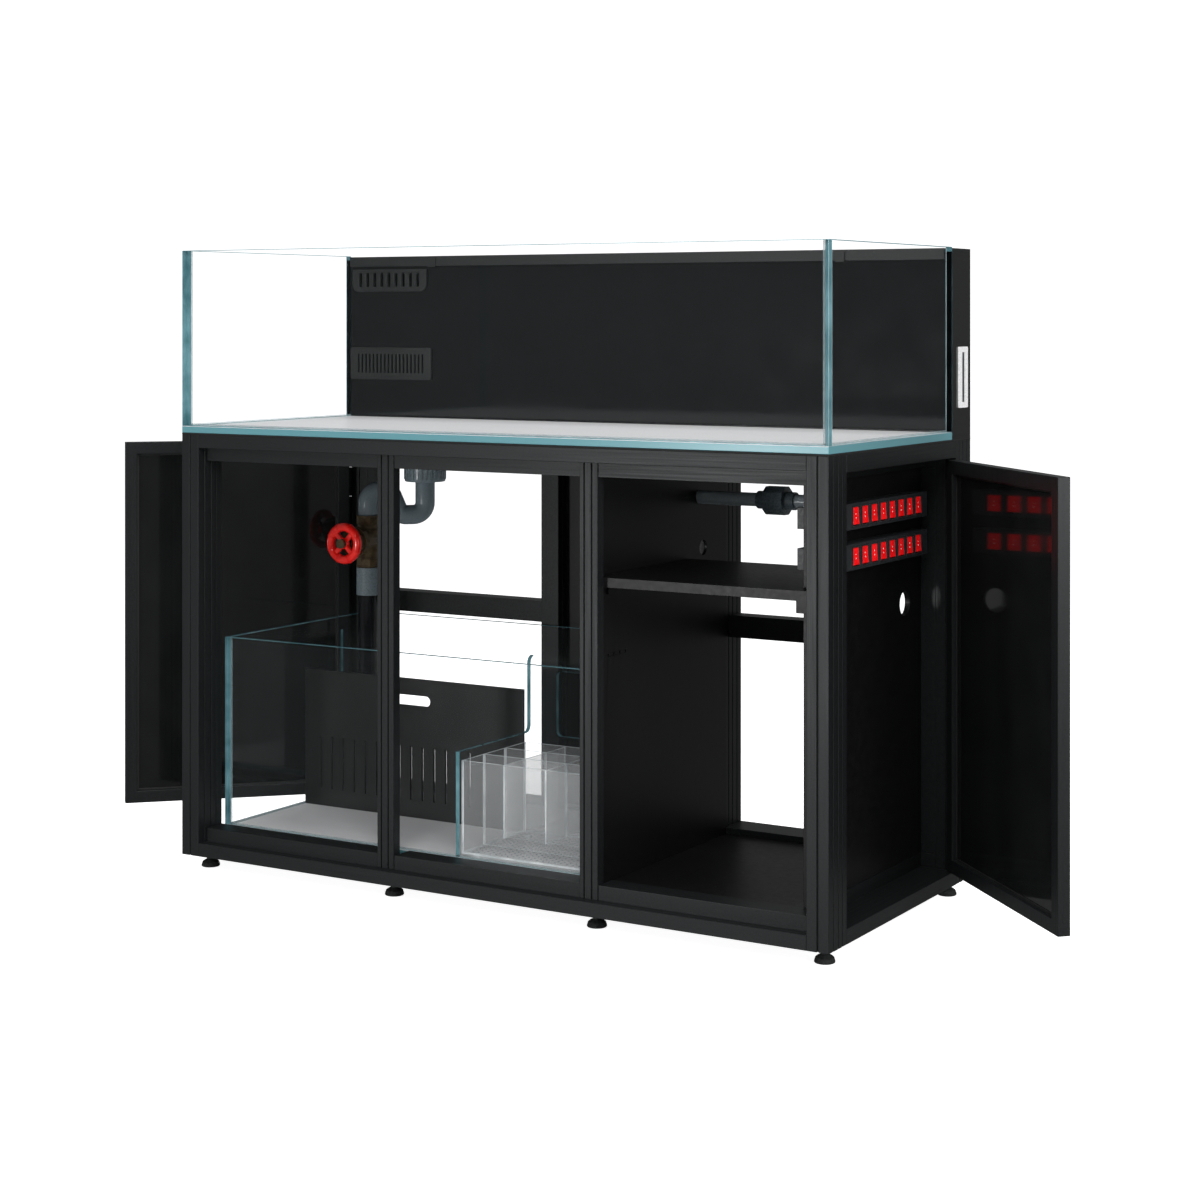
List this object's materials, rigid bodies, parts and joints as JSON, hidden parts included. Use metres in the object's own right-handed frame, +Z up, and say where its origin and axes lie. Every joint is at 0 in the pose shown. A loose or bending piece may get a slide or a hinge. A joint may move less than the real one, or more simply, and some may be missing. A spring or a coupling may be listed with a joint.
{
  "type": "aquarium on stand",
  "caption": "Rimless glass aquarium with a rear overflow box, on an open black extrusion stand with side doors, a glass sump, plumbing and rocker switches.",
  "frame": {"origin": "on the floor, at the centre of the stand's footprint", "axes": "+X runs to the right along the front, +Y to the back, +Z up"},
  "size_m": [2.0094, 0.6, 1.172],
  "materials": {
    "black_anodised": "satin black anodised aluminium extrusion",
    "black_board": "black foamed PVC board, satin",
    "door_gloss": "black gloss acrylic board",
    "black_acrylic": "cast black acrylic, polished",
    "foot_rubber": "moulded black rubber",
    "hinge_steel": "black powder-coated steel",
    "foam": "black closed-cell foam",
    "white_base_glass": "glass with a mottled white backing",
    "clear_glass": "low-iron float glass, polished edges",
    "white_plastic": "white moulded plastic",
    "clear_acrylic": "clear cast acrylic",
    "grey_pvc": "dark grey moulded PVC pipe",
    "valve_bronze": "cast bronze, dull",
    "red_paint": "red enamel on a cast wheel",
    "switch_black": "black moulded nylon",
    "rocker_red": "red translucent polycarbonate"
  },
  "bodies": {
    "stand": {"corner_posts": "black_anodised", "inner_posts": "black_anodised", "front_rails": "black_anodised", "side_rails": "black_anodised", "rear_rails": "black_anodised", "cross_bars": "black_anodised", "floor_boards": "black_board", "divider_board": "black_board", "side_board": "black_board", "shelf": "black_board", "rear_board": "black_board", "deck_board": "black_board", "levelling_feet": "foot_rubber", "hinge_leaves": "hinge_steel", "foam_mat": "foam", "tank_base": "white_base_glass", "sump_base": "white_base_glass", "tank_panes": "clear_glass", "sump_walls": "clear_glass", "sump_baffles": "clear_glass", "overflow_wall": "black_acrylic", "overflow_box": "black_acrylic", "intake_grille": "black_acrylic", "side_frame": "white_plastic", "pipe_fittings": "grey_pvc", "drain_pipe": "grey_pvc", "down_pipe": "grey_pvc", "return_pipe": "grey_pvc", "valve_body": "valve_bronze", "switch_box_upper": "switch_black", "switch_box_lower": "switch_black"},
    "left_door": {"left_door_frame": "black_anodised", "left_door_board": "door_gloss", "left_door_leaves": "hinge_steel"},
    "right_door": {"right_door_frame": "black_anodised", "right_door_board": "door_gloss", "right_door_leaves": "hinge_steel"},
    "lid": {"overflow_lid": "black_acrylic"},
    "comb": {"weir_comb": "black_acrylic"},
    "filter_panel": {"slotted_panel": "black_acrylic"},
    "rack": {"media_rack": "clear_acrylic"},
    "wheel": {"handwheel": "red_paint", "valve_stem": "valve_bronze"},
    "gate": {"valve_gate": "valve_bronze"},
    "switch_upper_1": {"rocker_upper_1": "rocker_red"},
    "switch_upper_2": {"rocker_upper_2": "rocker_red"},
    "switch_upper_3": {"rocker_upper_3": "rocker_red"},
    "switch_upper_4": {"rocker_upper_4": "rocker_red"},
    "switch_upper_5": {"rocker_upper_5": "rocker_red"},
    "switch_upper_6": {"rocker_upper_6": "rocker_red"},
    "switch_upper_7": {"rocker_upper_7": "rocker_red"},
    "switch_upper_8": {"rocker_upper_8": "rocker_red"},
    "switch_lower_1": {"rocker_lower_1": "rocker_red"},
    "switch_lower_2": {"rocker_lower_2": "rocker_red"},
    "switch_lower_3": {"rocker_lower_3": "rocker_red"},
    "switch_lower_4": {"rocker_lower_4": "rocker_red"},
    "switch_lower_5": {"rocker_lower_5": "rocker_red"},
    "switch_lower_6": {"rocker_lower_6": "rocker_red"},
    "switch_lower_7": {"rocker_lower_7": "rocker_red"},
    "switch_lower_8": {"rocker_lower_8": "rocker_red"}
  },
  "joints": [
    {"name": "left_door_hinge", "type": "hinge", "parent": "stand", "child": "left_door", "pos_m": [-0.6805, 0.235, 0.424], "axis": [0, 0, -1], "range_deg": [-45, 65]},
    {"name": "right_door_hinge", "type": "hinge", "parent": "stand", "child": "right_door", "pos_m": [0.6805, 0.235, 0.424], "axis": [0, 0, 1], "range_deg": [-45, 65]},
    {"name": "lid_lift", "type": "slide", "parent": "stand", "child": "lid", "axis": [0, 0, 1], "range_m": [0, 0.08]},
    {"name": "comb_pull", "type": "slide", "parent": "stand", "child": "comb", "axis": [0, -1, 0], "range_m": [0, 0.03]},
    {"name": "filter_panel_lift", "type": "slide", "parent": "stand", "child": "filter_panel", "axis": [0, 0, 1], "range_m": [0, 0.25]},
    {"name": "rack_lift", "type": "slide", "parent": "stand", "child": "rack", "axis": [0, 0, 1], "range_m": [0, 0.2]},
    {"name": "wheel_turn", "type": "hinge", "parent": "stand", "child": "wheel", "pos_m": [-0.578, 0.078, 0.59], "axis": [0, 1, 0], "range_deg": [0, 1980]},
    {"name": "gate_slide", "type": "slide", "parent": "stand", "child": "gate", "axis": [0, 1, 0], "range_m": [0, 0.0331]},
    {"name": "rocker_upper_1_tilt", "type": "hinge", "parent": "stand", "child": "switch_upper_1", "pos_m": [0.627, -0.112, 0.713], "axis": [0, 1, 0], "range_deg": [0, 14]},
    {"name": "rocker_upper_2_tilt", "type": "hinge", "parent": "stand", "child": "switch_upper_2", "pos_m": [0.627, -0.0745, 0.713], "axis": [0, 1, 0], "range_deg": [0, 14]},
    {"name": "rocker_upper_3_tilt", "type": "hinge", "parent": "stand", "child": "switch_upper_3", "pos_m": [0.627, -0.037, 0.713], "axis": [0, 1, 0], "range_deg": [0, 14]},
    {"name": "rocker_upper_4_tilt", "type": "hinge", "parent": "stand", "child": "switch_upper_4", "pos_m": [0.627, 0.0005, 0.713], "axis": [0, 1, 0], "range_deg": [0, 14]},
    {"name": "rocker_upper_5_tilt", "type": "hinge", "parent": "stand", "child": "switch_upper_5", "pos_m": [0.627, 0.038, 0.713], "axis": [0, 1, 0], "range_deg": [0, 14]},
    {"name": "rocker_upper_6_tilt", "type": "hinge", "parent": "stand", "child": "switch_upper_6", "pos_m": [0.627, 0.0755, 0.713], "axis": [0, 1, 0], "range_deg": [0, 14]},
    {"name": "rocker_upper_7_tilt", "type": "hinge", "parent": "stand", "child": "switch_upper_7", "pos_m": [0.627, 0.113, 0.713], "axis": [0, 1, 0], "range_deg": [0, 14]},
    {"name": "rocker_upper_8_tilt", "type": "hinge", "parent": "stand", "child": "switch_upper_8", "pos_m": [0.627, 0.1505, 0.713], "axis": [0, 1, 0], "range_deg": [0, 14]},
    {"name": "rocker_lower_1_tilt", "type": "hinge", "parent": "stand", "child": "switch_lower_1", "pos_m": [0.627, -0.112, 0.645], "axis": [0, 1, 0], "range_deg": [0, 14]},
    {"name": "rocker_lower_2_tilt", "type": "hinge", "parent": "stand", "child": "switch_lower_2", "pos_m": [0.627, -0.0745, 0.645], "axis": [0, 1, 0], "range_deg": [0, 14]},
    {"name": "rocker_lower_3_tilt", "type": "hinge", "parent": "stand", "child": "switch_lower_3", "pos_m": [0.627, -0.037, 0.645], "axis": [0, 1, 0], "range_deg": [0, 14]},
    {"name": "rocker_lower_4_tilt", "type": "hinge", "parent": "stand", "child": "switch_lower_4", "pos_m": [0.627, 0.0005, 0.645], "axis": [0, 1, 0], "range_deg": [0, 14]},
    {"name": "rocker_lower_5_tilt", "type": "hinge", "parent": "stand", "child": "switch_lower_5", "pos_m": [0.627, 0.038, 0.645], "axis": [0, 1, 0], "range_deg": [0, 14]},
    {"name": "rocker_lower_6_tilt", "type": "hinge", "parent": "stand", "child": "switch_lower_6", "pos_m": [0.627, 0.0755, 0.645], "axis": [0, 1, 0], "range_deg": [0, 14]},
    {"name": "rocker_lower_7_tilt", "type": "hinge", "parent": "stand", "child": "switch_lower_7", "pos_m": [0.627, 0.113, 0.645], "axis": [0, 1, 0], "range_deg": [0, 14]},
    {"name": "rocker_lower_8_tilt", "type": "hinge", "parent": "stand", "child": "switch_lower_8", "pos_m": [0.627, 0.1505, 0.645], "axis": [0, 1, 0], "range_deg": [0, 14]}
  ],
  "couplings": [
    {"joint": "gate_slide", "follows": "wheel_turn", "m_per_rad": 0.000955}
  ]
}
